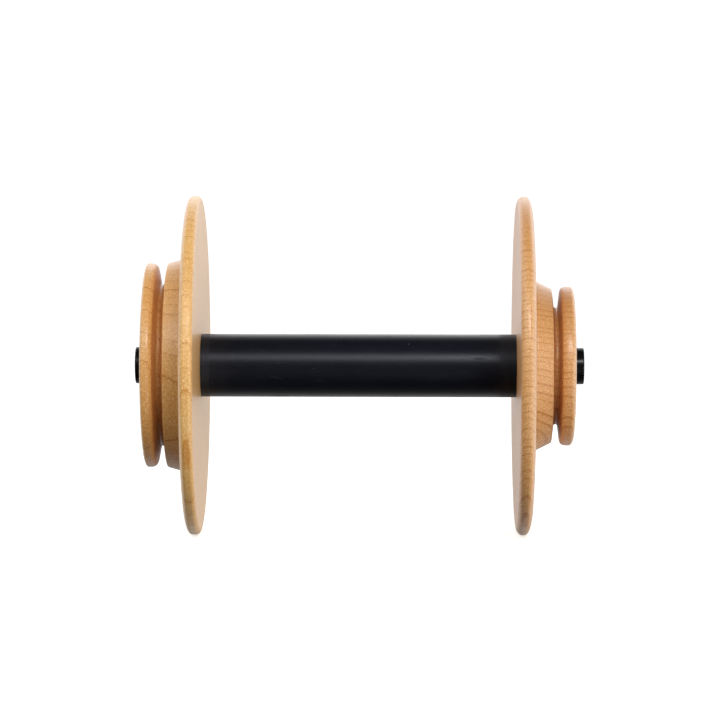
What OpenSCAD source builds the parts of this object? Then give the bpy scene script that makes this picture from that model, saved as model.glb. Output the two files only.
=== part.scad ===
// Spinning wheel bobbin: a black core tube between two turned wooden ends.
// Each end is a thin flange and a grooved whorl for the drive band, and carries a bush
// that turns on the flyer shaft. The two whorls differ in size, for two speeds.
// Millimetres. The bore lies along X, the large whorl is at -X, and the origin is at
// the middle of the overall length.

/* [Winding space] */
// Width between the flanges, which the yarn fills
winding_w = 85.4; // [60:0.2:120]
// Outside diameter of the core tube
tube_d = 17.1; // [16:0.1:22]
// Wall thickness of the core tube
tube_wall = 2; // [1.6:0.1:2.4]

/* [Flanges] */
// Diameter of both flanges
flange_d = 92; // [80:0.5:110]
// Thickness of the flange beside the large whorl
large_flange_t = 3.8; // [3.4:0.1:6]
// Thickness of the flange beside the small whorl
small_flange_t = 4.2; // [3.4:0.1:6]

/* [Large whorl] */
// Diameter over the rim of the large whorl
large_rim_d = 55.4; // [50:0.1:62]
// Diameter at the floor of its groove
large_floor_d = 43.8; // [36:0.1:46]
// Diameter of its shoulder, where it meets the flange
large_shoulder_d = 57.9; // [52:0.1:66]
// Diameter of its shoulder, at the lip of the groove
large_lip_d = 55.4; // [50:0.1:60]
// Width from the flange to the outer face
large_whorl_w = 11.3; // [10.5:0.1:16]
// Width of its rim, outside the groove
large_rim_w = 3.3; // [3:0.1:4]
// Width of its groove at the mouth
large_mouth_w = 2.8; // [2.2:0.1:3.2]

/* [Small whorl] */
// Diameter over the rim of the small whorl
small_rim_d = 43.2; // [38:0.1:49]
// Diameter at the floor of its groove
small_floor_d = 31.7; // [24:0.1:34]
// Diameter of its shoulder, where it meets the flange
small_shoulder_d = 45.8; // [42:0.1:50]
// Diameter of its shoulder, at the lip of the groove
small_lip_d = 41.8; // [37:0.1:42]
// Width from the flange to the outer face
small_whorl_w = 11.4; // [10.5:0.1:16]
// Width of its rim, outside the groove
small_rim_w = 3.8; // [3.4:0.1:4]
// Width of its groove at the mouth
small_mouth_w = 2.3; // [2.2:0.1:3]

/* [Bearings] */
// Diameter of the flyer shaft that the bobbin turns on
shaft_d = 6.35; // [5:0.05:7]
// Gap between shaft and bush, all round
running_gap = 0.07; // [0.03:0.01:0.1]
// Outside diameter of the bushes
bush_d = 10; // [9.4:0.1:10.6]
// How far a bush stands out of its whorl
bush_out = 2.8; // [1:0.1:5]
// Depth of the bush's seat in the whorl
bush_seat = 9; // [6:0.5:10]

/* [Hidden] */
$fn = 128;

wood_color = [0.80, 0.60, 0.38];
pale_wood_color = [0.86, 0.69, 0.48];
black_color = [0.09, 0.09, 0.10];

// The tube is let into each flange, and each whorl's spigot fills the tube's end
tube_seat = 1.5;
tube_edge = 0.3;
spigot_in_tube = 12;
spigot_edge = 0.6;
spigot_d = tube_d - 2 * tube_wall;
// The hole inside the spigot clears the shaft
shaft_way_d = shaft_d + 1.6;

// Roundings, as [radial, along the axis]
flange_inner_round = [2, 1.4];
flange_outer_round = [3.4, 1.7];
large_rim_inner_round = [1.3, 1.7];
large_rim_outer_round = [1.9, 0.9];
small_rim_inner_round = [1.1, 1.7];
small_rim_outer_round = [2.8, 1.3];
// Radius of the cove where a whorl's shoulder sweeps out to its flange
large_cove_r = 0.7;
small_cove_r = 1.2;
// Half width of the groove's round floor, and how far round each side it goes
floor_r = 0.65;
floor_turn = 76;
lip_edge = 0.25;
bush_edge = 0.4;
bore_edge = 0.3;
round_steps = 10;

large_end_w = large_flange_t + large_whorl_w;
small_end_w = small_flange_t + small_whorl_w;
length = winding_w + large_end_w + small_end_w + 2 * bush_out;
large_inner_x = -length / 2 + bush_out + large_end_w;
small_inner_x = length / 2 - bush_out - small_end_w;

// Each profile below has the radius as x and the way outwards along the axis as y.

// A quarter of an ellipse about c, with half axes size, that starts at the angle from
function quarter_round(c, size, from, turn = 90) = [
    for (i = [0:round_steps])
        let (a = from + turn * i / round_steps)
            c + [size.x * cos(a), size.y * sin(a)]
];

// The edge where the face at y meets the outside at radius r, outer edges upwards
function inner_edge(r, y, size) = quarter_round([r - size.x, y + size.y], size, -90);
function outer_edge(r, y, size) = quarter_round([r - size.x, y - size.y], size, 0);

// Puts an end's pieces with the flange's inner face at the end of the winding space
module at_large_end() {
    translate([large_inner_x, 0, 0]) rotate([0, -90, 0]) children();
}

module at_small_end() {
    translate([small_inner_x, 0, 0]) rotate([0, 90, 0]) children();
}

// A thin disc with a rounded rim, bored for the spigot and let in for the tube
module flange(thickness) {
    r = flange_d / 2;
    rotate_extrude()
        polygon(concat(
            [[tube_d / 2, 0]],
            inner_edge(r, 0, flange_inner_round),
            outer_edge(r, thickness, flange_outer_round),
            [
                [spigot_d / 2, thickness],
                [spigot_d / 2, tube_seat],
                [tube_d / 2, tube_seat]
            ]
        ));
}

// A pulley turned in one with its spigot. The shoulder tapers from the flange to the
// groove, and the rim is crowned. The flange's outer face is at y = 0.
module whorl(thickness, rim, floor_d, shoulder, lip, w, rim_w, mouth, cove, inner, outer) {
    spigot_y = tube_seat - thickness - spigot_in_tube;
    mouth_y = w - rim_w;
    floor_y = mouth_y - mouth / 2;
    rotate_extrude()
        polygon(concat(
            [
                [shaft_way_d / 2, spigot_y],
                [spigot_d / 2 - spigot_edge, spigot_y],
                [spigot_d / 2, spigot_y + spigot_edge],
                [spigot_d / 2, 0]
            ],
            // The cove is hollow, so it runs round its centre the other way
            quarter_round([shoulder / 2 + cove, cove], [cove, cove], -90, -90),
            [
                [lip / 2, mouth_y - mouth - lip_edge],
                [lip / 2 - lip_edge, mouth_y - mouth]
            ],
            quarter_round(
                [floor_d / 2 + floor_r, floor_y],
                [floor_r, floor_r],
                180 + floor_turn,
                -2 * floor_turn
            ),
            inner_edge(rim / 2, mouth_y, inner),
            outer_edge(rim / 2, w, outer),
            [
                [bush_d / 2, w],
                [bush_d / 2, w - bush_seat],
                [shaft_way_d / 2, w - bush_seat]
            ]
        ));
}

// A plain bearing sleeve. Its outer face is at y = bush_out from the whorl's face.
module bush() {
    r = bush_d / 2;
    bore_r = shaft_d / 2 + running_gap;
    round_edge = [bush_edge, bush_edge];
    rotate_extrude()
        polygon(concat(
            [
                [bore_r, -bush_seat],
                [r, -bush_seat]
            ],
            outer_edge(r, bush_out, round_edge),
            [
                [bore_r + bore_edge, bush_out],
                [bore_r, bush_out - bore_edge]
            ]
        ));
}

module core_tube() {
    tube_l = winding_w + 2 * tube_seat;
    color(black_color)
        translate([large_inner_x - tube_seat, 0, 0])
            rotate([0, 90, 0])
                rotate_extrude()
                    polygon([
                        [spigot_d / 2, 0],
                        [tube_d / 2 - tube_edge, 0],
                        [tube_d / 2, tube_edge],
                        [tube_d / 2, tube_l - tube_edge],
                        [tube_d / 2 - tube_edge, tube_l],
                        [spigot_d / 2, tube_l]
                    ]);
}

module large_end_flange() {
    color(pale_wood_color) at_large_end() flange(large_flange_t);
}

module large_whorl() {
    color(wood_color)
        at_large_end()
            translate([0, 0, large_flange_t])
                whorl(
                    thickness = large_flange_t,
                    rim = large_rim_d,
                    floor_d = large_floor_d,
                    shoulder = large_shoulder_d,
                    lip = large_lip_d,
                    w = large_whorl_w,
                    rim_w = large_rim_w,
                    mouth = large_mouth_w,
                    cove = large_cove_r,
                    inner = large_rim_inner_round,
                    outer = large_rim_outer_round
                );
}

module large_end_bush() {
    color(black_color) at_large_end() translate([0, 0, large_end_w]) bush();
}

module small_end_flange() {
    color(pale_wood_color) at_small_end() flange(small_flange_t);
}

module small_whorl() {
    color(wood_color)
        at_small_end()
            translate([0, 0, small_flange_t])
                whorl(
                    thickness = small_flange_t,
                    rim = small_rim_d,
                    floor_d = small_floor_d,
                    shoulder = small_shoulder_d,
                    lip = small_lip_d,
                    w = small_whorl_w,
                    rim_w = small_rim_w,
                    mouth = small_mouth_w,
                    cove = small_cove_r,
                    inner = small_rim_inner_round,
                    outer = small_rim_outer_round
                );
}

module small_end_bush() {
    color(black_color) at_small_end() translate([0, 0, small_end_w]) bush();
}

core_tube();
large_end_flange();
large_whorl();
large_end_bush();
small_end_flange();
small_whorl();
small_end_bush();
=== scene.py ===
"""Looks of a spinning wheel bobbin: turned maple ends on a black core tube.

Every piece is turned afresh from a fine outline, takes the place of its plain node, and
is dressed in lacquered maple or black plastic. The bore lies along X.
"""

import logging
import math
from dataclasses import dataclass, field
from enum import Enum
from typing import Union

import bmesh
import bpy
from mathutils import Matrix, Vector


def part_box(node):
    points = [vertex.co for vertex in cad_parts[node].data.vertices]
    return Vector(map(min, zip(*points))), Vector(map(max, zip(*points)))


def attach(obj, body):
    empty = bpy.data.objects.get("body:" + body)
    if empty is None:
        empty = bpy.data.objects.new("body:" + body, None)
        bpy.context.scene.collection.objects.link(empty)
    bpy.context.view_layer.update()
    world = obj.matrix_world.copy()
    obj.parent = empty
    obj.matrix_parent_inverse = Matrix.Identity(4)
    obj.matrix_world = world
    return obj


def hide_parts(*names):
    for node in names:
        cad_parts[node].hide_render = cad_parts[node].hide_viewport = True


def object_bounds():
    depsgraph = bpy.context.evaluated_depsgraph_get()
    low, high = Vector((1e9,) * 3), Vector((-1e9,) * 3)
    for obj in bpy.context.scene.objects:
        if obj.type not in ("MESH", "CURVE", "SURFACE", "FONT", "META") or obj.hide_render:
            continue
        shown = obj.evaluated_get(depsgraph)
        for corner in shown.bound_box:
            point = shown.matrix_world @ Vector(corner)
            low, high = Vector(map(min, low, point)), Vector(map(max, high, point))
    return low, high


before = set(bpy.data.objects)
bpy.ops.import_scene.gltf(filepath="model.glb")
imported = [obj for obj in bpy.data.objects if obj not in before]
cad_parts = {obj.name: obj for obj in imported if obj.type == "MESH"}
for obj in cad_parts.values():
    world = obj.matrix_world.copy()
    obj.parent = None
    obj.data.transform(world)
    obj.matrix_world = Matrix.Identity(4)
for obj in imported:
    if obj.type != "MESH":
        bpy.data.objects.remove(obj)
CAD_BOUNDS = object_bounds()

LOG = logging.getLogger("bobbin")
MM = 0.001
ROOT = "root"
# Points of an outline closer than this, in mm, are one point
SAME_POINT = 1e-6
# Points of a turned piece closer than this, in metres, are welded
WELD = 1e-7

Point = tuple[float, float]
Triple = tuple[float, float, float]
Colour = tuple[float, float, float]


class Side(Enum):
    """Which way an end's pieces point along the bore."""

    LARGE = -1
    SMALL = 1


class Segments(Enum):
    """How many facets go once round a turned piece."""

    FINE = 256
    MEDIUM = 192
    SMALL = 128


# Outlines


@dataclass
class Outline:
    """The closed outline of a turned piece, as points of (along the axis, radius) in mm.

    Attributes:
        step: The longest stretch, in mm, that is left without a point.
        corner_step: How near to a corner, in mm, a straight stretch has a point.
        points: The outline's points so far.
    """

    step: float = 0.55
    corner_step: float = 0.12
    points: list[Point] = field(default_factory=list)

    def line(self, *corners: Point) -> "Outline":
        """Adds straight stretches to the corners given, one after the other."""
        for corner in corners:
            self._straight(corner)
        return self

    def soft_corner(self, corner: Point, after: Point, size: float, steps: int = 5) -> "Outline":
        """Adds a corner that is rounded off.

        Args:
            corner: Where the two straight stretches would meet.
            after: A point that the outline heads for next.
            size: How far from the corner the rounding starts and ends, in mm.
            steps: How many short stretches make the rounding.

        Returns:
            The outline itself.
        """
        start = self._towards(corner, self.points[-1], size)
        end = self._towards(corner, after, size)
        self._straight(start)
        for i in range(1, steps + 1):
            t = i / steps
            weights = ((1 - t) ** 2, 2 * t * (1 - t), t ** 2)
            along = sum(w * p[0] for w, p in zip(weights, (start, corner, end)))
            radius = sum(w * p[1] for w, p in zip(weights, (start, corner, end)))
            self.points.append((along, radius))
        return self

    def quarter(
        self, centre: Point, half_axes: Point, start: float, turn: float, steps: int = 14
    ) -> "Outline":
        """Adds part of an ellipse, joined to the outline so far by a straight stretch.

        Args:
            centre: The ellipse's centre.
            half_axes: Its half axes, along the bore and outwards.
            start: The angle that it starts at, in degrees from the way of the bore.
            turn: How far it turns, in degrees.
            steps: How many short stretches make it.

        Returns:
            The outline itself.
        """
        for i in range(steps + 1):
            angle = math.radians(start + turn * i / steps)
            point = (
                centre[0] + half_axes[0] * math.cos(angle),
                centre[1] + half_axes[1] * math.sin(angle),
            )
            if i == 0:
                self._straight(point)
            else:
                self.points.append(point)
        return self

    def close(self) -> list[Point]:
        """Joins the end to the start and returns the points, the first one twice."""
        self._straight(self.points[0])
        return self.points

    def _straight(self, end: Point) -> None:
        """Adds a straight stretch, with a point near each of its ends.

        Args:
            end: Where the stretch ends.
        """
        if not self.points:
            self.points.append(end)
            return
        start = self.points[-1]
        length = math.dist(start, end)
        if length < SAME_POINT:
            return
        near = min(self.corner_step, length / 4)
        count = max(1, math.ceil((length - 2 * near) / self.step))
        marks = [near + (length - 2 * near) * i / count for i in range(count + 1)] + [length]
        for mark in marks:
            self.points.append(self._between(start, end, mark / length))

    @staticmethod
    def _between(a: Point, b: Point, t: float) -> Point:
        """Returns the point that lies the share t of the way from a to b."""
        return (a[0] + (b[0] - a[0]) * t, a[1] + (b[1] - a[1]) * t)

    @classmethod
    def _towards(cls, a: Point, b: Point, distance: float) -> Point:
        """Returns the point that lies the distance from a towards b, at most half way."""
        return cls._between(a, b, min(0.5, distance / math.dist(a, b)))


# Node trees


class Num:
    """A number in a node tree, which Python's operators work on."""

    def __init__(self, nodes: "Nodes", socket: bpy.types.NodeSocket) -> None:
        """Wraps an output socket of the tree."""
        self.nodes = nodes
        self.socket = socket

    def __add__(self, other: "Value") -> "Num":
        """Returns the sum."""
        return self.nodes.math("ADD", self, other)

    __radd__ = __add__

    def __sub__(self, other: "Value") -> "Num":
        """Returns the difference."""
        return self.nodes.math("SUBTRACT", self, other)

    def __rsub__(self, other: "Value") -> "Num":
        """Returns the difference, with this number taken away."""
        return self.nodes.math("SUBTRACT", other, self)

    def __mul__(self, other: "Value") -> "Num":
        """Returns the product."""
        return self.nodes.math("MULTIPLY", self, other)

    __rmul__ = __mul__

    def __truediv__(self, other: "Value") -> "Num":
        """Returns the quotient."""
        return self.nodes.math("DIVIDE", self, other)

    def __pow__(self, other: "Value") -> "Num":
        """Returns this number to a power."""
        return self.nodes.math("POWER", self, other)

    def __abs__(self) -> "Num":
        """Returns the number without its sign."""
        return self.nodes.math("ABSOLUTE", self)


Value = Union[float, Num]


class Nodes:
    """A node tree, with the one method that all of its nodes come from."""

    def __init__(self, tree: bpy.types.NodeTree) -> None:
        """Takes a tree and empties it."""
        self.tree = tree
        self.tree.nodes.clear()

    def node(
        self, kind: str, settings: dict[str, object], inputs: dict[Union[str, int], object]
    ) -> bpy.types.Node:
        """Adds a node.

        Args:
            kind: The node's type.
            settings: Its settings, made before its sockets are used.
            inputs: A value, a Num or an output socket for each input, by name or number.

        Returns:
            The node.
        """
        node = self.tree.nodes.new(kind)
        for key, value in settings.items():
            setattr(node, key, value)
        for key, value in inputs.items():
            source = value.socket if isinstance(value, Num) else value
            if isinstance(source, bpy.types.NodeSocket):
                self.tree.links.new(source, node.inputs[key])
            else:
                node.inputs[key].default_value = source
        return node

    def number(
        self,
        kind: str,
        settings: dict[str, object],
        inputs: dict[Union[str, int], object],
        output: Union[str, int] = 0,
    ) -> Num:
        """Adds a node and returns one of its outputs as a number."""
        return Num(self, self.node(kind, settings, inputs).outputs[output])

    def math(self, operation: str, a: Value, b: Value = 0.0) -> Num:
        """Adds a Math node and returns its result."""
        return self.number("ShaderNodeMath", {"operation": operation}, {0: a, 1: b})

    def smooth(self, value: Value, low: float, high: float, top: float = 1.0) -> Num:
        """Returns 0 below low, top above high and a smooth rise between them."""
        inputs = {"Value": value, "From Min": low, "From Max": high, "To Max": top}
        return self.number("ShaderNodeMapRange", {"interpolation_type": "SMOOTHSTEP"}, inputs, "Result")

    def split(self, vector: object) -> tuple[Num, Num, Num]:
        """Returns the three numbers of a vector."""
        parts = self.node("ShaderNodeSeparateXYZ", {}, {0: vector}).outputs
        return Num(self, parts[0]), Num(self, parts[1]), Num(self, parts[2])

    def combine(self, x: Value, y: Value, z: Value) -> bpy.types.NodeSocket:
        """Returns a vector of three numbers."""
        return self.node("ShaderNodeCombineXYZ", {}, {"X": x, "Y": y, "Z": z}).outputs[0]

    def vector(self, operation: str, a: object, b: object) -> bpy.types.NodeSocket:
        """Adds a Vector Math node and returns its vector."""
        return self.node("ShaderNodeVectorMath", {"operation": operation}, {0: a, 1: b}).outputs["Vector"]

    def scale(self, vector: object, factor: Value) -> bpy.types.NodeSocket:
        """Returns a vector made so many times as long."""
        inputs = {0: vector, "Scale": factor}
        return self.node("ShaderNodeVectorMath", {"operation": "SCALE"}, inputs).outputs["Vector"]

    def dot(self, a: object, b: object) -> Num:
        """Returns the dot product of two vectors."""
        return self.number("ShaderNodeVectorMath", {"operation": "DOT_PRODUCT"}, {0: a, 1: b}, "Value")

    def length(self, vector: object) -> Num:
        """Returns the length of a vector."""
        return self.number("ShaderNodeVectorMath", {"operation": "LENGTH"}, {0: vector}, "Value")

    def noise_along(self, distance: Value, scale: float, detail: float = 1.0) -> Num:
        """Returns smooth noise from 0 to 1 along a single number."""
        inputs = {"W": distance, "Scale": scale, "Detail": detail}
        return self.number("ShaderNodeTexNoise", {"noise_dimensions": "1D"}, inputs)


# The lathe


@dataclass(frozen=True)
class ToolMarks:
    """The faint rings that the turning tool leaves.

    Attributes:
        depth: How deep the rings go, in mm.
        pitch: How far apart they lie, in mm.
        seed: Which pattern of rings it is.
    """

    depth: float
    pitch: float
    seed: float


class Lathe:
    """Turns an outline round the X axis with geometry nodes."""

    def __init__(self) -> None:
        """Makes the node tree that every turned piece shares."""
        self.tree = bpy.data.node_groups.new("Lathe", "GeometryNodeTree")
        self._make_inputs()
        self._make_nodes()

    def turn(
        self,
        name: str,
        outline: list[Point],
        origin: float,
        side: Side,
        segments: Segments,
        marks: ToolMarks,
        material: bpy.types.Material,
    ) -> bpy.types.Object:
        """Turns a closed outline into a solid piece.

        Args:
            name: The piece's name.
            outline: The closed outline in mm, with its first point repeated at the end.
            origin: Where the outline's zero lies along X, in metres.
            side: Which way the outline points along X.
            segments: How many facets go once round.
            marks: The tool marks on its surface.
            material: The finish that it is given.

        Returns:
            The piece, with its place in its mesh.
        """
        travelled = 0.0
        vertices: list[tuple[float, float, float]] = []
        outline = outline if side is Side.LARGE else outline[::-1]
        for i, (along, radius) in enumerate(outline):
            travelled += math.dist(outline[i - 1], outline[i]) if i else 0.0
            vertices.append((origin + side.value * along * MM, radius * MM, travelled * MM))
        mesh = bpy.data.meshes.new(name)
        mesh.from_pydata(vertices, [(i, i + 1) for i in range(len(vertices) - 1)], [])
        piece = bpy.data.objects.new(name, mesh)
        bpy.context.scene.collection.objects.link(piece)
        modifier = piece.modifiers.new("Lathe", "NODES")
        modifier.node_group = self.tree
        values = {
            "Segments": segments.value,
            "Mark Depth": marks.depth * MM,
            "Mark Pitch": marks.pitch * MM,
            "Mark Seed": marks.seed,
            "Material": material,
        }
        for item in self.tree.interface.items_tree:
            if item.item_type == "SOCKET" and item.in_out == "INPUT" and item.name in values:
                modifier[item.identifier] = values[item.name]
        return self._to_plain_mesh(piece, material)

    def _make_inputs(self) -> None:
        """Gives the tree its named inputs and its output."""
        sockets = self.tree.interface
        sockets.new_socket("Geometry", in_out="INPUT", socket_type="NodeSocketGeometry")
        sockets.new_socket("Segments", in_out="INPUT", socket_type="NodeSocketInt")
        for name in ("Mark Depth", "Mark Pitch", "Mark Seed"):
            sockets.new_socket(name, in_out="INPUT", socket_type="NodeSocketFloat")
        sockets.new_socket("Material", in_out="INPUT", socket_type="NodeSocketMaterial")
        sockets.new_socket("Geometry", in_out="OUTPUT", socket_type="NodeSocketGeometry")

    def _make_nodes(self) -> None:
        """Links the nodes that wrap a grid round the axis and lay the tool marks on it."""
        nodes = Nodes(self.tree)
        given = nodes.node("NodeGroupInput", {}, {}).outputs
        names = ("Segments", "Mark Depth", "Mark Pitch", "Mark Seed")
        segments, mark_depth, mark_pitch, mark_seed = (Num(nodes, given[name]) for name in names)
        count = nodes.number(
            "GeometryNodeAttributeDomainSize",
            {"component": "MESH"},
            {"Geometry": given["Geometry"]},
            "Point Count",
        )
        grid = nodes.node(
            "GeometryNodeMeshGrid",
            {},
            {"Size X": 1.0, "Size Y": 1.0, "Vertices X": count, "Vertices Y": segments + 1.0},
        ).outputs["Mesh"]
        position = nodes.node("GeometryNodeInputPosition", {}, {}).outputs[0]
        grid_x, grid_y, _ = nodes.split(position)
        number = nodes.math("ROUND", (grid_x + 0.5) * (count - 1.0))
        angle = (grid_y + 0.5) * (2 * math.pi)
        sample = nodes.node(
            "GeometryNodeSampleIndex",
            {"data_type": "FLOAT_VECTOR", "domain": "POINT"},
            {"Geometry": given["Geometry"], "Index": number, "Value": position},
        ).outputs[0]
        along, radius, travelled = nodes.split(sample)
        place = nodes.combine(
            along, radius * nodes.math("COSINE", angle), radius * nodes.math("SINE", angle)
        )
        kept = nodes.node(
            "GeometryNodeStoreNamedAttribute",
            {"data_type": "FLOAT", "domain": "POINT"},
            {"Geometry": grid, "Name": "travel", "Value": travelled},
        ).outputs[0]
        turned = nodes.node("GeometryNodeSetPosition", {}, {"Geometry": kept, "Position": place}).outputs[0]
        merged = nodes.node(
            "GeometryNodeMergeByDistance", {}, {"Geometry": turned, "Distance": WELD}
        ).outputs[0]
        travel = nodes.number(
            "GeometryNodeInputNamedAttribute", {"data_type": "FLOAT"}, {"Name": "travel"}, "Attribute"
        )
        rings = nodes.noise_along(travel / mark_pitch + mark_seed, 1.0)
        normal = nodes.node("GeometryNodeInputNormal", {}, {}).outputs[0]
        inwards = nodes.scale(normal, rings * -1.0 * mark_depth)
        marked = nodes.node("GeometryNodeSetPosition", {}, {"Geometry": merged, "Offset": inwards}).outputs[0]
        smooth = nodes.node("GeometryNodeSetShadeSmooth", {}, {"Geometry": marked}).outputs[0]
        real = nodes.node("GeometryNodeRealizeInstances", {}, {"Geometry": smooth}).outputs[0]
        dressed = nodes.node(
            "GeometryNodeSetMaterial", {}, {"Geometry": real, "Material": given["Material"]}
        ).outputs[0]
        nodes.node("NodeGroupOutput", {}, {"Geometry": dressed})

    @staticmethod
    def _to_plain_mesh(piece: bpy.types.Object, material: bpy.types.Material) -> bpy.types.Object:
        """Swaps the modifier's result in as the piece's own mesh, with its faces outwards.

        Args:
            piece: The piece, with its modifier.
            material: The finish that it is given.

        Returns:
            The piece, without its modifier.
        """
        graph = bpy.context.evaluated_depsgraph_get()
        turned = bpy.data.meshes.new_from_object(
            piece.evaluated_get(graph), preserve_all_data_layers=True, depsgraph=graph
        )
        piece.modifiers.clear()
        plain = piece.data
        piece.data = turned
        bpy.data.meshes.remove(plain)
        shape = bmesh.new()
        shape.from_mesh(turned)
        bmesh.ops.recalc_face_normals(shape, faces=shape.faces)
        shape.to_mesh(turned)
        shape.free()
        turned.name = piece.name
        turned.materials.clear()
        turned.materials.append(material)
        return piece


# Finishes


@dataclass(frozen=True)
class Noise:
    """A noise that draws marks on a piece.

    Attributes:
        per_mm: How many of its patches lie in a mm, each of three ways.
        detail: How many finer layers it has.
        roughness: How strong each finer layer is.
        shift: How much of the wood's seed moves it, each of the three ways.
    """

    per_mm: Triple
    detail: float = 2.0
    roughness: float = 0.5
    shift: Triple = (0.0, 0.0, 0.0)


class Shader(Nodes):
    """A material's node tree, with one method for each sort of sum."""

    def __init__(self, name: str) -> None:
        """Makes an empty material."""
        self.material = bpy.data.materials.new(name)
        self.material.use_nodes = True
        super().__init__(self.material.node_tree)

    def place_mm(self) -> bpy.types.NodeSocket:
        """Returns the place on the piece in mm, from its object coordinates."""
        return self.scale(self.node("ShaderNodeTexCoord", {}, {}).outputs["Object"], 1 / MM)

    def noise(self, place: object, kind: Noise, seed: float = 0.0) -> Num:
        """Returns a noise from 0 to 1 at a place.

        Args:
            place: The place in mm.
            kind: The noise.
            seed: The seed that its shift is taken from.

        Returns:
            The noise.
        """
        moved = self.vector("MULTIPLY", place, kind.per_mm)
        if any(kind.shift):
            moved = self.vector("ADD", moved, tuple(seed * share for share in kind.shift))
        inputs = {"Vector": moved, "Scale": 1.0, "Detail": kind.detail, "Roughness": kind.roughness}
        return self.number("ShaderNodeTexNoise", {"noise_dimensions": "3D"}, inputs)

    def blend(self, share: Value, a: object, b: object, kind: str = "MIX") -> bpy.types.NodeSocket:
        """Returns a blend of two colours.

        Args:
            share: How much of the blend is used, from 0 to 1.
            a: The colour at 0.
            b: The colour that is blended in.
            kind: The blend's kind.

        Returns:
            The blended colour.
        """
        settings = {"data_type": "RGBA", "blend_type": kind, "clamp_factor": True}
        inputs = {0: share, 6: self._rgba(a), 7: self._rgba(b)}
        return self.node("ShaderNodeMix", settings, inputs).outputs[2]

    def bump(self, height: Value, depth_mm: float, under: object = None) -> bpy.types.NodeSocket:
        """Returns a normal that shows a height as so many mm.

        Args:
            height: The height, from 0 to 1.
            depth_mm: How much 1 stands for, in mm.
            under: The normal that it is laid on, if there is one.

        Returns:
            The normal.
        """
        inputs = {"Height": height, "Distance": depth_mm * MM, "Strength": 1.0}
        if under is not None:
            inputs["Normal"] = under
        return self.node("ShaderNodeBump", {}, inputs).outputs[0]

    def surface(self, inputs: dict[str, object]) -> bpy.types.Material:
        """Ends the tree in a Principled shader.

        Args:
            inputs: A value, a Num or an output socket for each of the shader's inputs.

        Returns:
            The finished material.
        """
        shaded = self.node("ShaderNodeBsdfPrincipled", {}, inputs).outputs[0]
        self.node("ShaderNodeOutputMaterial", {}, {"Surface": shaded})
        return self.material

    @staticmethod
    def _rgba(colour: object) -> object:
        """Gives a plain colour its alpha, and leaves a socket as it is."""
        return (*colour, 1.0) if isinstance(colour, tuple) else colour


# Noises in the wood: along the fibre, across the growth rings, and along them
FLECKS = Noise((1.5, 3.0, 3.0), roughness=0.65, shift=(1.0, 0.0, 0.0))
PORES = Noise((1.1, 4.2, 4.2), roughness=0.6, shift=(0.0, 1.0, 0.0))
MOTTLE = Noise((0.05, 0.12, 0.12), detail=3.0, shift=(1.0, 0.0, 0.0))
SLOW_WAVES = Noise((1 / 60, 1 / 30, 1 / 45), detail=1.0, shift=(1.0, 0.0, 0.0))
QUICK_WAVES = Noise((1 / 2.6, 1 / 1.3, 1.0), roughness=0.6, shift=(0.0, 0.0, 1.0))
# The values of those noises that a mark fades in between
DARK_FLECK = (0.47, 0.68)
PALE_FLECK = (0.32, 0.50)
OPEN_PORE = (0.56, 0.70)


@dataclass(frozen=True)
class Groove:
    """Where a drive band groove lies, for the painted shade and pooled lacquer that darken the wood inside
    it.

    Attributes:
        middle: The groove's middle along X, in mm.
        half_width: Half the groove's width at its mouth, in mm.
        rim: The radius of the rim, in mm.
        darkness: How strongly the painted shade and pooled lacquer darken it at its floor, from 0 to 1.
        shade_and_lacquer_tint: The colour of that painted shade and pooled lacquer.
    """

    middle: float
    half_width: float
    rim: float
    darkness: float = 0.30
    shade_and_lacquer_tint: Colour = (0.80, 0.58, 0.42)

    def depth(self, shader: Shader, along_bore: Num, radius: Num) -> Num:
        """Returns how deep inside the groove a place is.

        Args:
            shader: The shader that it is worked out in.
            along_bore: The place along X, in mm.
            radius: Its distance from the bore's axis, in mm.

        Returns:
            The depth, from 0 outside the groove to 1 well inside it.
        """
        inside = 1.0 - shader.smooth(abs(along_bore - self.middle), self.half_width, self.half_width + 0.5)
        return inside * (1.0 - shader.smooth(radius, self.rim - 3.2, self.rim - 0.4))


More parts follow.
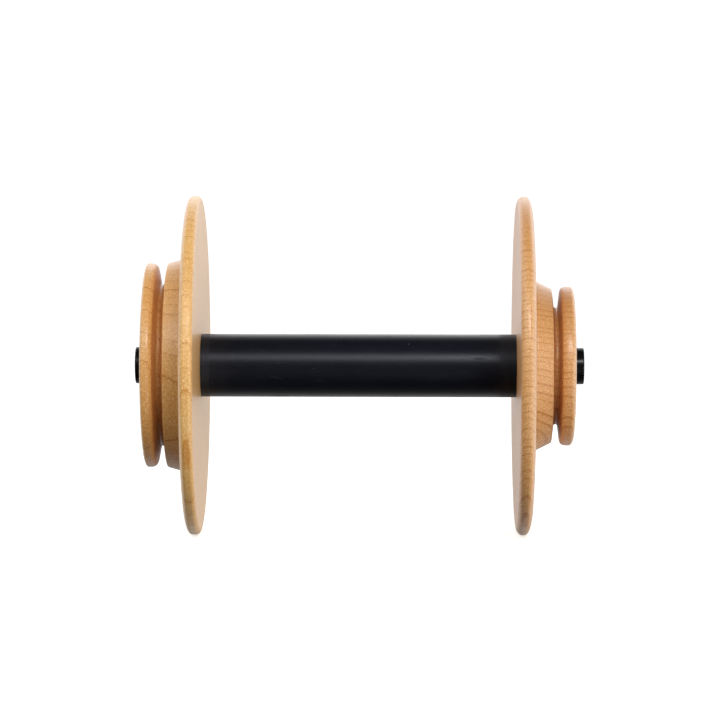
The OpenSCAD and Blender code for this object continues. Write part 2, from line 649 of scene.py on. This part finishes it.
@dataclass(frozen=True)
class MapleFinish:
    """Turned maple under a satin lacquer.

    Attributes:
        name: The material's name.
        middle: Where the blank's middle lies along X, in mm.
        ring_normal: The way that the growth rings are stacked.
        pith_distance: How far off the tree's middle was, in mm.
        ring_width: The mean width of a year's ring, in mm.
        pale: The colour of the wood of spring.
        deep: The colour of the wood towards the end of a year's ring.
        line: The colour of the thin line that ends a year.
        light: The colour of the lightest flecks.
        seed: Where in the tree the blank was cut, in mm.
        line_width: How wide the thin line is, in mm.
        fleck_depth: How strongly the flecks show, from 0 to 1.
        pore_depth: How strongly the open pores show, from 0 to 1.
        year_depth: How much the wood darkens over each year, from 0 to 1.
        mottle_depth: How much the mottle changes that.
        mottle_mean: The value of the mottle that changes nothing.
        slow_wave: How far the slow waves move a ring, in mm.
        quick_wave: How far the quick waves move a ring, in mm.
        uneven_years: How much the years' widths differ, as a share of a ring.
        heart: How strongly the wood darkens towards the tree's middle, from 0 to 1.
        heart_reach: How far from the blank's middle it is darkest, in mm.
        groove: The drive band groove, if the piece has one.
        roughness: How dull the wood's skin is between the flecks.
        grain_depth: How deep the grain feels, in mm.
        index: The refractive index of the wood's skin.
        lacquer: How thick the lacquer lies, from 0 to 1.
        lacquer_roughness: How dull it is.
        lacquer_index: Its refractive index.
    """

    name: str
    middle: float
    ring_normal: Triple
    pith_distance: float
    ring_width: float
    pale: Colour
    deep: Colour
    line: Colour
    light: Colour
    seed: float
    line_width: float = 0.24
    fleck_depth: float = 0.8
    pore_depth: float = 0.34
    year_depth: float = 0.35
    mottle_depth: float = 0.75
    mottle_mean: float = 0.4
    slow_wave: float = 3.0
    quick_wave: float = 0.42
    uneven_years: float = 1.1
    heart: float = 0.0
    heart_reach: float = 30.0
    groove: Union[Groove, None] = None
    roughness: float = 0.42
    grain_depth: float = 0.010
    index: float = 1.45
    lacquer: float = 0.6
    lacquer_roughness: float = 0.28
    lacquer_index: float = 1.5

    def build(self) -> bpy.types.Material:
        """Makes the material.

        Returns:
            The material.
        """
        shader = Shader(self.name)
        place = shader.place_mm()
        along_bore, y, z = shader.split(place)
        radius = shader.length(shader.combine(y, z, 0.0))
        blank = self._in_blank(shader, place)
        ring, line = self._rings(shader, self._depth(shader, blank))
        fleck = shader.noise(blank, FLECKS, self.seed)
        colour = self._wood(shader, blank, ring, line, fleck)
        if self.groove is not None:
            # Painted shade with some pooled lacquer: the wood is darkened towards the groove's floor.
            shade_and_lacquer = self.groove.depth(shader, along_bore, radius) * self.groove.darkness
            colour = shader.blend(shade_and_lacquer, colour, self.groove.shade_and_lacquer_tint, "MULTIPLY")
        tool_rings = shader.noise_along(radius + along_bore, 3.0, detail=3.0)
        return shader.surface(
            {
                "Base Color": colour,
                "Roughness": self.roughness + 0.12 * fleck - 0.05 * line,
                "Normal": shader.bump(fleck * 0.6 + tool_rings * 0.4, self.grain_depth),
                "IOR": self.index,
                "Coat Weight": self.lacquer,
                "Coat Roughness": self.lacquer_roughness,
                "Coat IOR": self.lacquer_index,
            }
        )

    def _in_blank(self, shader: Shader, place: bpy.types.NodeSocket) -> bpy.types.NodeSocket:
        """Turns a place on the piece into a place in the blank that it was cut from.

        Args:
            shader: The shader that it is worked out in.
            place: The place on the piece, in mm.

        Returns:
            The place along the fibre, across the growth rings and along them, in mm.
        """
        normal = Vector(self.ring_normal).normalized()
        fibre = normal.cross(Vector((1.0, 0.0, 0.0))).normalized()
        centred = shader.vector("SUBTRACT", place, (self.middle, 0.0, 0.0))
        return shader.combine(
            *(shader.dot(centred, tuple(way)) for way in (fibre, normal, fibre.cross(normal)))
        )

    def _wood(
        self, shader: Shader, blank: bpy.types.NodeSocket, ring: Num, line: Num, fleck: Num
    ) -> bpy.types.NodeSocket:
        """Paints the wood.

        Args:
            shader: The shader that it is worked out in.
            blank: The place in the blank.
            ring: The slow darkening over a year.
            line: The thin line that ends it.
            fleck: The flecks' noise.

        Returns:
            The colour.
        """
        pore = shader.noise(blank, PORES, self.seed)
        mottle = shader.noise(blank, MOTTLE, self.seed)
        darkness = ring * self.year_depth + self.mottle_depth * (mottle - self.mottle_mean)
        colour = shader.blend(darkness, self.pale, self.deep)
        colour = shader.blend(shader.smooth(fleck, *DARK_FLECK) * self.fleck_depth, colour, self.deep)
        pale_fleck = 1.0 - shader.smooth(fleck, *PALE_FLECK)
        colour = shader.blend(pale_fleck * self.fleck_depth, colour, self.light)
        colour = shader.blend(shader.smooth(pore, *OPEN_PORE) * self.pore_depth, colour, self.line)
        colour = shader.blend(line * (0.30 + 1.1 * fleck), colour, self.line)
        _, stacked, _ = shader.split(blank)
        heart = shader.smooth(stacked, 0.0, self.heart_reach) * self.heart
        return shader.blend(heart, colour, self.deep)

    def _depth(self, shader: Shader, blank: bpy.types.NodeSocket) -> Num:
        """Returns how far from the tree's middle a place is, in mm, with the rings' waves.

        Args:
            shader: The shader that it is worked out in.
            blank: The place in the blank.

        Returns:
            The depth, which is the same all along one ring.
        """
        _, stacked, across = shader.split(blank)
        depth = shader.length(shader.combine(stacked + self.pith_distance, across, 0.0))
        depth = depth + self.slow_wave * shader.noise(blank, SLOW_WAVES, self.seed)
        depth = depth + self.quick_wave * shader.noise(blank, QUICK_WAVES, self.seed)
        years = shader.noise_along(depth + self.seed, 0.5 / self.ring_width)
        return depth + self.uneven_years * self.ring_width * years

    def _rings(self, shader: Shader, depth: Num) -> tuple[Num, Num]:
        """Draws the growth rings.

        Args:
            shader: The shader that they are worked out in.
            depth: How far from the tree's middle the place is.

        Returns:
            The slow darkening over each year, and the thin line that ends it.
        """
        years = depth / self.ring_width
        part = shader.math("FRACT", years)
        year = shader.math("FLOOR", years)
        luck = shader.number("ShaderNodeTexWhiteNoise", {"noise_dimensions": "1D"}, {"W": year})
        start = 1.0 - self.line_width / self.ring_width
        line = shader.smooth(part, start - 0.06, start + 0.02) * (1.0 - shader.smooth(part, 0.965, 1.0))
        return part ** 2.0, line * (0.35 + 0.55 * luck)


@dataclass(frozen=True)
class BlackTubeFinish:
    """Satin black plastic with scuffs, smudges and a scratched band at each end, whose rings are painted
    paler as a painted highlight.

    Attributes:
        name: The material's name.
        black: The plastic's own colour.
        haze: The colour of its scuffs and of the bands, and of the painted highlight on the bands' rings.
        dust: The colour of its few specks.
        tint: The tint of its sheen.
        roughness: How dull its clean skin is.
        index: Its refractive index, low because the skin is worn.
        left_band: Where the band at the large end starts along X, in mm.
        right_band: Where the band at the small end starts along X, in mm.
        worn: How far from the middle the wear at the ends fades in, in mm.
        peel_depth: How deep the skin's faint unevenness is, in mm.
        ring_depth: How deep the rings in the bands are, in mm.
        rings: The noise of those rings.
        peel: The noise of the unevenness.
        clouds: The noise of the haze.
        smudges: The noise of the smudges.
        specks: The noise of the specks.
    """

    name: str
    black: Colour = (0.0042, 0.0056, 0.0105)
    haze: Colour = (0.022, 0.022, 0.023)
    dust: Colour = (0.10, 0.10, 0.10)
    tint: Colour = (0.88, 0.90, 1.0)
    roughness: float = 0.30
    index: float = 1.335
    left_band: float = -40.7
    right_band: float = 38.0
    worn: tuple[float, float] = (33.0, 38.0)
    peel_depth: float = 0.020
    ring_depth: float = 0.035
    rings: Noise = Noise((3.2, 0.06, 0.06), detail=3.0, roughness=0.7)
    peel: Noise = Noise((3.0, 3.0, 3.0), roughness=0.6)
    clouds: Noise = Noise((0.08, 0.16, 0.16), detail=4.0, roughness=0.6)
    smudges: Noise = Noise((0.16, 0.6, 0.6), detail=3.0, roughness=0.6)
    specks: Noise = Noise((1.1, 1.1, 1.1), detail=1.0)

    def build(self) -> bpy.types.Material:
        """Makes the material.

        Returns:
            The material.
        """
        shader = Shader(self.name)
        place = shader.place_mm()
        along, _, _ = shader.split(place)
        left = 1.0 - shader.smooth(along, self.left_band, self.left_band + 0.5)
        right = shader.smooth(along, self.right_band - 0.6, self.right_band + 0.4)
        fading = shader.smooth(abs(along), *self.worn) * 0.25
        ringed = shader.math("MAXIMUM", shader.math("MAXIMUM", left, right), fading)
        rings = shader.noise(place, self.rings)
        peel = shader.noise(place, self.peel)
        cloud = shader.noise(place, self.clouds)
        smudge = shader.smooth(shader.noise(place, self.smudges), 0.60, 0.70)
        speck = shader.smooth(shader.noise(place, self.specks), 0.79, 0.82)
        # The bands' scuffed rings are painted paler: a painted highlight where they catch the light.
        scuff_and_glint_ring = shader.smooth(rings, 0.55, 0.68)
        colour = shader.blend(ringed * (0.15 + 0.5 * scuff_and_glint_ring) + 0.12 * cloud, self.black, self.haze)
        colour = shader.blend(left * shader.smooth(cloud, 0.35, 0.65) * 0.5, colour, self.haze)
        colour = shader.blend(speck, colour, self.dust)
        dullness = self.roughness + 0.12 * (cloud - 0.5) + 0.08 * (peel - 0.5) + 0.16 * smudge
        skin = shader.bump(peel, self.peel_depth)
        return shader.surface(
            {
                "Base Color": colour,
                "Roughness": dullness + 0.14 * ringed,
                "Normal": shader.bump(rings * ringed, self.ring_depth, skin),
                "IOR": self.index,
                "Specular Tint": (*self.tint, 1.0),
            }
        )


@dataclass(frozen=True)
class BlackBushFinish:
    """Glossy black plastic with the fine rings of the lathe, painted paler as a painted highlight.

    Attributes:
        name: The material's name.
        black: The plastic's own colour.
        grey: The colour of its dust and of the painted highlight on its rings.
        roughness: How dull it is.
        index: Its refractive index.
        ring_depth: How deep the rings are, in mm.
        rings: The noise of the rings.
        dust: The noise of the dust.
    """

    name: str
    black: Colour = (0.003, 0.003, 0.0036)
    grey: Colour = (0.03, 0.03, 0.03)
    roughness: float = 0.17
    index: float = 1.30
    ring_depth: float = 0.012
    rings: Noise = Noise((5.0, 0.5, 0.5), detail=3.0, roughness=0.7)
    dust: Noise = Noise((2.4, 2.4, 2.4))

    def build(self) -> bpy.types.Material:
        """Makes the material.

        Returns:
            The material.
        """
        shader = Shader(self.name)
        place = shader.place_mm()
        rings = shader.noise(place, self.rings)
        dust = shader.smooth(shader.noise(place, self.dust), 0.62, 0.72)
        # Real dust, plus a painted highlight that makes the lathe's rings paler.
        dust_and_ring_glint = 0.35 * dust + 0.25 * shader.smooth(rings, 0.55, 0.7)
        return shader.surface(
            {
                "Base Color": shader.blend(dust_and_ring_glint, self.black, self.grey),
                "Roughness": self.roughness + 0.10 * rings + 0.15 * dust,
                "Normal": shader.bump(rings, self.ring_depth),
                "IOR": self.index,
            }
        )


# Sub-assemblies


@dataclass
class CoreTube:
    """The black tube that the yarn is wound on.

    Attributes:
        wall: The tube's wall, in mm.
        edge: The small bevel at its ends, in mm.
        step: The longest stretch, in mm, without a point of its outline.
        marks: Its tool marks.
        finish: Its finish.
    """

    wall: float = 2.0
    edge: float = 0.3
    step: float = 0.8
    marks: ToolMarks = ToolMarks(depth=0.006, pitch=1.7, seed=3.0)
    finish: BlackTubeFinish = BlackTubeFinish("black_tube_finish")

    def build(self, lathe: Lathe) -> list[bpy.types.Object]:
        """Turns the tube in the place of its node.

        Args:
            lathe: The lathe that it is turned on.

        Returns:
            The pieces made.
        """
        low, high = (Vector(corner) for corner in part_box("core_tube"))
        length = (high.x - low.x) / MM
        outer = high.z / MM
        inner = outer - self.wall
        outline = Outline(self.step).line((0.0, inner), (0.0, outer - self.edge), (self.edge, outer))
        outline.line((length - self.edge, outer), (length, outer - self.edge), (length, inner))
        tube = lathe.turn(
            "tube_turned",
            outline.close(),
            low.x,
            Side.SMALL,
            Segments.MEDIUM,
            self.marks,
            self.finish.build(),
        )
        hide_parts("core_tube")
        return [tube]


@dataclass
class BobbinEnd:
    """One wooden end: a flange, a grooved whorl and the bush in its middle.

    Sizes are in mm. The outline runs outwards from the flange's inner face.

    Attributes:
        side: Which end it is.
        prefix: The word that its nodes' names start with.
        flange_wood: The flange's finish.
        whorl_wood: The whorl's finish.
        rim_w: Width of the rim outside the groove.
        mouth_w: Width of the groove's mouth.
        lip_r: Radius of the shoulder at the groove.
        shoulder_r: Radius of the shoulder at the flange.
        floor_r: Radius of the groove's floor.
        rim_r: Radius over the rim.
        cove: Radius of the hollow between shoulder and flange.
        rim_inner: The rim's rounding at the groove, along and out.
        rim_outer: The rim's rounding at the outer face, along and out.
        flange_inner: The flange's rounding at its inner face, along and out.
        flange_outer: The flange's rounding at its outer face, along and out.
        tube_seat: How deep the core tube is let into the flange.
        tube_r: Radius of the core tube.
        spigot_r: Radius of the whorl's spigot.
        shaft_way_r: Radius of the hole that clears the shaft.
        spigot_in_tube: How far the spigot goes into the tube.
        spigot_edge: The bevel at the spigot's end.
        lip_edge: How far the shoulder's lip is rounded off.
        floor_round: Radius of the groove's round floor in its profile.
        floor_turn: How far round each side that floor goes, in degrees.
        bush_seat: Depth of the bush's seat in the whorl.
        bush_edge: The rounding at the bush's outer end.
        bush_step: The longest stretch without a point of the bush's outline.
        bore_r: Radius of the bush's bore.
        bore_edge: The bevel at the bore's outer end.
        bush_finish: The bush's finish.
    """

    side: Side
    prefix: str
    flange_wood: MapleFinish
    whorl_wood: MapleFinish
    rim_w: float
    mouth_w: float
    lip_r: float
    shoulder_r: float
    floor_r: float
    rim_r: float
    cove: float
    rim_inner: Point
    rim_outer: Point
    flange_inner: Point
    flange_outer: Point
    tube_seat: float = 1.5
    tube_r: float = 8.55
    spigot_r: float = 6.55
    shaft_way_r: float = 3.975
    spigot_in_tube: float = 12.0
    spigot_edge: float = 0.6
    lip_edge: float = 0.35
    floor_round: float = 0.65
    floor_turn: float = 76.0
    bush_seat: float = 9.0
    bush_edge: float = 0.4
    bush_step: float = 0.06
    bore_r: float = 3.245
    bore_edge: float = 0.3
    bush_finish: BlackBushFinish = BlackBushFinish("black_bush_finish")

    def build(self, lathe: Lathe) -> list[bpy.types.Object]:
        """Turns the end's three pieces in the places of their nodes.

        Args:
            lathe: The lathe that they are turned on.

        Returns:
            The pieces made.
        """
        return [self._flange(lathe), self._whorl(lathe), self._bush(lathe)]

    def _span(self, node: str) -> tuple[float, float]:
        """Returns where a node's inner and outer faces lie along X, in metres."""
        low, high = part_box(node)
        return (high[0], low[0]) if self.side is Side.LARGE else (low[0], high[0])

    def _flange(self, lathe: Lathe) -> bpy.types.Object:
        """Turns the flange.

        Args:
            lathe: The lathe that it is turned on.

        Returns:
            The piece.
        """
        node = f"{self.prefix}_end_flange"
        start, end = self._span(node)
        thick = abs(end - start) / MM
        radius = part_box(node)[1][2] / MM
        outline = Outline().line((0.0, self.tube_r))
        inner, outer = self.flange_inner, self.flange_outer
        outline.quarter((inner[0], radius - inner[1]), inner, 180.0, -90.0)
        outline.quarter((thick - outer[0], radius - outer[1]), outer, 90.0, -90.0)
        outline.line((thick, self.spigot_r))
        outline.line((self.tube_seat, self.spigot_r), (self.tube_seat, self.tube_r))
        piece = lathe.turn(
            f"{self.prefix}_flange_turned",
            outline.close(),
            start,
            self.side,
            Segments.FINE,
            ToolMarks(depth=0.012, pitch=1.3, seed=11.0 + self.side.value),
            self.flange_wood.build(),
        )
        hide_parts(node)
        return piece

    def _whorl(self, lathe: Lathe) -> bpy.types.Object:
        """Turns the whorl with its spigot.

        Args:
            lathe: The lathe that it is turned on.

        Returns:
            The piece.
        """
        node = f"{self.prefix}_whorl"
        flange_start, start = self._span(f"{self.prefix}_end_flange")
        thick = abs(start - flange_start) / MM
        width = abs(self._span(node)[1] - start) / MM
        spigot_end = self.tube_seat - thick - self.spigot_in_tube
        mouth = width - self.rim_w
        outline = Outline().line((spigot_end, self.shaft_way_r))
        outline.line((spigot_end, self.spigot_r - self.spigot_edge))
        outline.line((spigot_end + self.spigot_edge, self.spigot_r), (0.0, self.spigot_r))
        outline.quarter((self.cove, self.shoulder_r + self.cove), (self.cove, self.cove), 180.0, 90.0)
        lip = (mouth - self.mouth_w, self.lip_r)
        floor_middle = mouth - self.mouth_w / 2
        turn = math.radians(self.floor_turn)
        floor_start = (
            floor_middle - self.floor_round * math.sin(turn),
            self.floor_r + self.floor_round * (1 - math.cos(turn)),
        )
        outline.soft_corner(lip, floor_start, self.lip_edge)
        outline.quarter(
            (floor_middle, self.floor_r + self.floor_round),
            (self.floor_round, self.floor_round),
            270.0 - self.floor_turn,
            2 * self.floor_turn,
        )
        inner, outer = self.rim_inner, self.rim_outer
        outline.quarter((mouth + inner[0], self.rim_r - inner[1]), inner, 180.0, -90.0)
        outline.quarter((width - outer[0], self.rim_r - outer[1]), outer, 90.0, -90.0)
        bush_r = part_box(f"{self.prefix}_end_bush")[1][2] / MM
        seat = width - self.bush_seat
        outline.line((width, bush_r), (seat, bush_r), (seat, self.shaft_way_r))
        piece = lathe.turn(
            f"{self.prefix}_whorl_turned",
            outline.close(),
            start,
            self.side,
            Segments.FINE,
            ToolMarks(depth=0.012, pitch=1.1, seed=5.0 + self.side.value),
            self.whorl_wood.build(),
        )
        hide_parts(node)
        return piece

    def _bush(self, lathe: Lathe) -> bpy.types.Object:
        """Turns the bush.

        Args:
            lathe: The lathe that it is turned on.

        Returns:
            The piece.
        """
        node = f"{self.prefix}_end_bush"
        start, end = self._span(node)
        length = abs(end - start) / MM
        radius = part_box(node)[1][2] / MM
        edge = self.bush_edge
        outline = Outline(self.bush_step).line((0.0, self.bore_r), (0.0, radius))
        outline.quarter((length - edge, radius - edge), (edge, edge), 90.0, -90.0)
        outline.line((length, self.bore_r + self.bore_edge), (length - self.bore_edge, self.bore_r))
        piece = lathe.turn(
            f"{self.prefix}_bush_turned",
            outline.close(),
            start,
            self.side,
            Segments.SMALL,
            ToolMarks(depth=0.02, pitch=0.22, seed=21.0 + self.side.value),
            self.bush_finish.build(),
        )
        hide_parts(node)
        return piece


# The studio


@dataclass(frozen=True)
class Card:
    """A white card far off, as a soft round glow.

    Attributes:
        azimuth: Its direction in degrees, 0 towards the camera and 90 towards the small end.
        elevation: Its height in degrees.
        strength: How bright it is.
        core: Half the angle of its even middle, in degrees.
        edge: Half the angle that it fades out at, in degrees.
    """

    azimuth: float
    elevation: float
    strength: float
    core: float = 8.0
    edge: float = 42.0

    def direction(self) -> Triple:
        """Returns the way to the card as a unit vector."""
        turn, rise = math.radians(self.azimuth), math.radians(self.elevation)
        return (math.sin(turn) * math.cos(rise), -math.cos(turn) * math.cos(rise), math.sin(rise))


@dataclass(frozen=True)
class SoftBox:
    """A softbox in front of the bobbin.

    Attributes:
        name: The light's name.
        sideways: Where its middle lies along X, in metres.
        elevation: Its height in degrees, seen from the bobbin.
        width: Its width, in metres.
        height: Its height, in metres.
        radiance: How bright its face is.
    """

    name: str
    sideways: float
    elevation: float
    width: float
    height: float
    radiance: float


# Azimuth, elevation and strength of each card, and for two of them the core and the edge
CARDS = (
    Card(0.0, 0.0, 0.07),
    Card(45.0, 0.0, 0.42),
    Card(90.0, 0.0, 1.15),
    Card(140.0, 0.0, 0.50, 5.0, 30.0),
    Card(157.5, 30.0, 0.54),
    Card(157.5, -30.0, 0.18),
    Card(180.0, 15.0, 0.40, 5.0, 30.0),
    Card(180.0, -60.0, 0.12),
    Card(202.5, 30.0, 0.36),
    Card(202.5, -30.0, 0.12),
    Card(225.0, 0.0, 0.50),
    Card(247.5, 30.0, 0.26),
    Card(292.5, 30.0, 0.58),
    Card(300.0, 60.0, 0.10),
)
SOFT_BOXES = (
    SoftBox("long_softbox", -0.30, 36.6, 1.6, 0.45, 1.30),
    SoftBox("small_softbox", 0.26, 34.5, 0.30, 0.14, 19.0),
    SoftBox("low_softbox", 0.50, -32.0, 0.4, 0.45, 2.3),
)


@dataclass
class Studio:
    """The floor, the lights and the camera.

    Attributes:
        distance: From the camera to the bore, in metres.
        side_step: How far the camera stands towards the small end, in metres.
        rise: The camera's angle above level, in degrees.
        aim_side: How far towards the small end the camera aims, in metres.
        aim_up: How far above the bore it aims, in metres.
        roll: The camera's roll, in degrees.
        pixels_per_metre: The photograph's scale at the bore.
        picture: The photograph's width in pixels.
        sensor: The width of the camera's sensor, in mm.
        clip: How near and how far the camera sees, in metres.
        floor_half: Half the floor's width, in metres.
        floor_white: How pale the floor is, from 0 to 1.
        floor_roughness: How dull it is.
        floor_glow: The glow that brings it up to the photograph's plain white.
        backdrop: How bright the camera sees the surroundings.
        exposure: How much light there is in all.
        reach: How far off the softboxes hang, in metres.
        cards: The white cards round the bobbin.
        soft_boxes: The softboxes in front of it.
    """

    distance: float = 0.965
    side_step: float = 0.0121
    rise: float = 4.0
    aim_side: float = 0.0001
    aim_up: float = 0.0015
    roll: float = 0.08
    pixels_per_metre: float = 3680.0
    picture: float = 720.0
    sensor: float = 36.0
    clip: tuple[float, float] = (0.05, 50.0)
    floor_half: float = 6.0
    floor_white: float = 0.8
    floor_roughness: float = 0.9
    floor_glow: float = 0.62
    backdrop: float = 1.05
    exposure: float = 1.8
    reach: float = 1.15
    cards: tuple[Card, ...] = CARDS
    soft_boxes: tuple[SoftBox, ...] = SOFT_BOXES

    def build(self) -> None:
        """Makes the whole studio."""
        scene = bpy.context.scene
        scene.view_settings.view_transform = "Standard"
        scene.view_settings.look = "None"
        self._camera()
        self._floor()
        self._world()
        for box in self.soft_boxes:
            self._softbox(box)

    def _camera(self) -> None:
        """Stands the camera where the photograph was taken from."""
        data = bpy.data.cameras.new("camera")
        data.sensor_width = self.sensor
        data.lens = self.sensor * self.pixels_per_metre * self.distance / self.picture
        data.clip_start, data.clip_end = self.clip
        camera = bpy.data.objects.new("camera", data)
        bpy.context.scene.collection.objects.link(camera)
        rise = math.radians(self.rise)
        camera.location = (self.side_step, -self.distance * math.cos(rise), self.distance * math.sin(rise))
        aim = Vector((self.aim_side, 0.0, self.aim_up / math.cos(rise)))
        camera.rotation_euler = (aim - camera.location).to_track_quat("-Z", "Y").to_euler()
        camera.rotation_euler.rotate_axis("Z", math.radians(self.roll))
        bpy.context.scene.camera = camera

    def _floor(self) -> None:
        """Lays a wide white floor under the bobbin's flanges."""
        half, bottom = self.floor_half, CAD_BOUNDS[0][2]
        corners = [(x * half, y * half, bottom) for x, y in ((-1, -1), (1, -1), (1, 1), (-1, 1))]
        mesh = bpy.data.meshes.new("floor")
        mesh.from_pydata(corners, [], [(0, 1, 2, 3)])
        floor = bpy.data.objects.new("floor", mesh)
        bpy.context.scene.collection.objects.link(floor)
        finish = {
            "Base Color": (self.floor_white, self.floor_white, self.floor_white, 1.0),
            "Roughness": self.floor_roughness,
            "Specular IOR Level": 0.0,
            "Emission Color": (1.0, 1.0, 1.0, 1.0),
            "Emission Strength": self.floor_glow,
        }
        mesh.materials.append(Shader("floor_finish").surface(finish))
        floor.visible_shadow = False
        floor.visible_diffuse = False
        floor.visible_glossy = False

    def _world(self) -> None:
        """Stands white cards round the bobbin, which the camera itself sees as plain white."""
        world = bpy.data.worlds.new("surroundings")
        bpy.context.scene.world = world
        world.use_nodes = True
        nodes = Nodes(world.node_tree)
        way = nodes.node("ShaderNodeTexCoord", {}, {}).outputs["Generated"]
        glows = [self._glow(nodes, way, card) for card in self.cards]
        total = sum(glows[1:], glows[0])
        seen = nodes.node("ShaderNodeLightPath", {}, {}).outputs["Is Camera Ray"]
        strength = nodes.number("ShaderNodeMix", {}, {0: seen, 2: total, 3: self.backdrop})
        background = nodes.node(
            "ShaderNodeBackground", {}, {"Color": (1.0, 1.0, 1.0, 1.0), "Strength": strength}
        ).outputs[0]
        nodes.node("ShaderNodeOutputWorld", {}, {"Surface": background})

    def _glow(self, nodes: Nodes, way: bpy.types.NodeSocket, card: Card) -> Num:
        """Returns how bright one card is in a direction.

        Args:
            nodes: The surroundings' node tree.
            way: The direction.
            card: The card.

        Returns:
            The brightness.
        """
        edge, core = (math.cos(math.radians(angle)) for angle in (card.edge, card.core))
        return nodes.smooth(nodes.dot(way, card.direction()), edge, core, card.strength * self.exposure)

    def _softbox(self, box: SoftBox) -> None:
        """Hangs one softbox, turned to the bobbin.

        Args:
            box: The softbox.
        """
        data = bpy.data.lights.new(box.name, "AREA")
        data.shape = "RECTANGLE"
        data.size = box.width
        data.size_y = box.height
        data.energy = math.pi * box.width * box.height * box.radiance * self.exposure
        light = bpy.data.objects.new(box.name, data)
        bpy.context.scene.collection.objects.link(light)
        rise = math.radians(box.elevation)
        light.location = (box.sideways, -self.reach * math.cos(rise), self.reach * math.sin(rise))
        light.rotation_mode = "QUATERNION"
        light.rotation_quaternion = (-light.location).to_track_quat("-Z", "Y")


# Putting it together

# Three boards of the same wood, from the palest to the deepest
GOLDEN_MAPLE = {
    "pale": (0.84, 0.49, 0.165),
    "deep": (0.68, 0.325, 0.075),
    "line": (0.58, 0.20, 0.018),
    "light": (0.94, 0.67, 0.33),
}
AMBER_MAPLE = {
    "pale": (0.80, 0.44, 0.145),
    "deep": (0.64, 0.29, 0.065),
    "line": (0.52, 0.165, 0.015),
    "light": (0.91, 0.61, 0.29),
}
ROSY_MAPLE = {
    "pale": (0.74, 0.39, 0.145),
    "deep": (0.57, 0.25, 0.068),
    "line": (0.46, 0.145, 0.018),
    "light": (0.87, 0.56, 0.28),
}


def make_ends() -> list[BobbinEnd]:
    """Returns the two wooden ends with their own woods and sizes."""
    large = BobbinEnd(
        side=Side.LARGE,
        prefix="large",
        flange_wood=MapleFinish(
            name="large_flange_maple",
            middle=-44.9,
            ring_normal=(0.0, 0.90, 0.43),
            pith_distance=95.0,
            ring_width=3.1,
            seed=3.1,
            **GOLDEN_MAPLE,
        ),
        whorl_wood=MapleFinish(
            name="large_whorl_maple",
            middle=-52.4,
            ring_normal=(0.22, 0.90, 0.36),
            pith_distance=80.0,
            ring_width=2.9,
            seed=17.4,
            groove=Groove(middle=-53.35, half_width=1.6, rim=27.7),
            **AMBER_MAPLE,
        ),
        rim_w=3.3,
        mouth_w=2.8,
        lip_r=27.7,
        shoulder_r=28.95,
        floor_r=21.9,
        rim_r=27.7,
        cove=0.7,
        rim_inner=(1.7, 1.3),
        rim_outer=(0.9, 1.9),
        flange_inner=(1.2, 1.6),
        flange_outer=(1.6, 3.4),
    )
    small = BobbinEnd(
        side=Side.SMALL,
        prefix="small",
        flange_wood=MapleFinish(
            name="small_flange_maple",
            middle=44.6,
            ring_normal=(0.0, 0.50, 0.866),
            pith_distance=90.0,
            ring_width=1.8,
            seed=41.9,
            heart=0.6,
            **ROSY_MAPLE,
        ),
        whorl_wood=MapleFinish(
            name="small_whorl_maple",
            middle=52.4,
            ring_normal=(0.02, 0.45, 0.89),
            pith_distance=90.0,
            ring_width=1.7,
            seed=58.2,
            heart=0.5,
            heart_reach=18.0,
            groove=Groove(middle=53.1, half_width=1.4, rim=21.6),
            **ROSY_MAPLE,
        ),
        rim_w=3.8,
        mouth_w=2.3,
        lip_r=20.9,
        shoulder_r=22.9,
        floor_r=15.85,
        rim_r=21.6,
        cove=1.2,
        rim_inner=(1.7, 1.1),
        rim_outer=(1.3, 2.8),
        flange_inner=(1.9, 2.3),
        flange_outer=(1.9, 4.8),
    )
    return [large, small]


def main() -> None:
    """Builds the bobbin and its studio, piece by piece."""
    logging.basicConfig(level=logging.INFO, format="%(name)s: %(message)s")
    lathe = Lathe()
    for part in [CoreTube(), *make_ends()]:
        for piece in part.build(lathe):
            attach(piece, ROOT)
            LOG.info("%s: %d faces", piece.name, len(piece.data.polygons))
    Studio().build()


if __name__ == "__main__":
    main()
